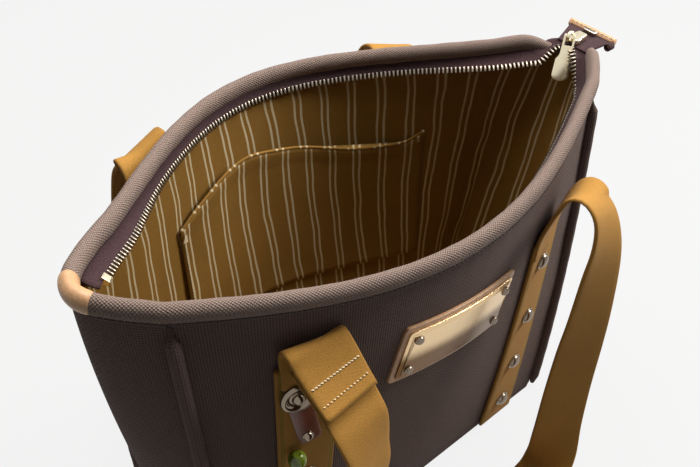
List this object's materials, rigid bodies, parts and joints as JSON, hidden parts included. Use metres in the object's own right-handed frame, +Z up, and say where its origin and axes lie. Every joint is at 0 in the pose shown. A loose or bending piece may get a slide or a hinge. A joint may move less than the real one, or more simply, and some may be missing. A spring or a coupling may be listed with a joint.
{
  "type": "shoulder bag",
  "caption": "Zip-top canvas shoulder bag with two webbing handles, corner piping, padded rim, striped lining and inner pocket",
  "frame": {"origin": "middle of the underside, on the table", "axes": "+X along the mouth towards the zip tail, +Y to the back, +Z up"},
  "size_m": [0.4146, 0.3127, 0.2938],
  "materials": {
    "canvas": "basket-woven dark brown canvas",
    "lining": "ochre cotton with pale stripes",
    "webbing": "dense ochre webbing",
    "tan_leather": "smooth tan leather",
    "dark_leather": "polished dark red-brown leather",
    "plate": "polished pale brass",
    "studs": "polished nickel",
    "zip_brass": "polished pale gold",
    "zip_teeth": "dull nickel",
    "ring": "aged dark brass",
    "zip_tape": "woven dark brown tape",
    "board": "stiff fibre board",
    "bead": "glossy green"
  },
  "bodies": {
    "bag": {"front_panel": "canvas", "back_panel": "canvas", "left_gusset": "canvas", "right_gusset": "canvas", "base_panel": "canvas", "base_board": "board", "front_left_piping": "canvas", "front_right_piping": "canvas", "back_left_piping": "canvas", "back_right_piping": "canvas", "front_rim_roll": "canvas", "back_rim_roll": "canvas", "left_tip_tab": "tan_leather", "lining": "lining", "inner_pocket": "lining", "front_left_strip": "webbing", "front_right_strip": "webbing", "back_left_strip": "webbing", "back_right_strip": "webbing", "front_left_stud_1": "studs", "front_left_stud_2": "studs", "front_left_stud_3": "studs", "front_right_stud_1": "studs", "front_right_stud_2": "studs", "front_right_stud_3": "studs", "front_right_stud_4": "studs", "back_left_stud_1": "studs", "back_left_stud_2": "studs", "back_left_stud_3": "studs", "back_left_stud_4": "studs", "back_right_stud_1": "studs", "back_right_stud_2": "studs", "back_right_stud_3": "studs", "back_right_stud_4": "studs", "plate_leather_patch": "tan_leather", "blank_plate": "plate", "plate_rivet_upper_left": "studs", "plate_rivet_upper_right": "studs", "plate_rivet_lower_left": "studs", "plate_rivet_lower_right": "studs", "front_zip_tape": "zip_tape", "back_zip_tape": "zip_tape", "front_zip_teeth": "zip_teeth", "back_zip_teeth": "zip_teeth", "front_zip_top_stop": "zip_brass", "back_zip_top_stop": "zip_brass", "zip_tail": "zip_tape", "tail_leather": "tan_leather", "zip_retainer": "zip_teeth", "ring_tab": "zip_tape"},
    "front_handle": {"front_handle": "webbing", "front_handle_stitched_end": "webbing"},
    "back_handle": {"back_handle": "webbing"},
    "slider": {"zip_slider": "zip_brass"},
    "pull": {"zip_pull": "zip_brass"},
    "ring": {"d_ring": "ring"},
    "charm": {"charm_tab": "dark_leather", "charm_head": "studs", "charm_bead": "bead"}
  },
  "joints": [
    {"name": "front_handle_swing", "type": "hinge", "parent": "bag", "child": "front_handle", "pos_m": [0, -0.08968, 0.2325], "axis": [-1, 0, 0], "range_deg": [0, 160]},
    {"name": "back_handle_swing", "type": "hinge", "parent": "bag", "child": "back_handle", "pos_m": [0, 0.11804, 0.25], "axis": [1, 0, 0], "range_deg": [0, 160]},
    {"name": "slider_travel", "type": "slide", "parent": "bag", "child": "slider", "axis": [-1, 0, 0], "range_m": [0, 0.003]},
    {"name": "pull_swing", "type": "hinge", "parent": "slider", "child": "pull", "pos_m": [0.1845, 0.006, 0.2899], "axis": [0, 1, 0], "range_deg": [0, 150]},
    {"name": "ring_swing", "type": "hinge", "parent": "bag", "child": "ring", "pos_m": [0.2065, -0.01263, 0.2828], "axis": [1, 0, 0], "range_deg": [-70, 15]},
    {"name": "charm_swing", "type": "hinge", "parent": "bag", "child": "charm", "pos_m": [-0.10955, -0.0624, 0.20515], "axis": [-0.2818, -0.9591, 0.0275], "range_deg": [-10, 10]}
  ]
}
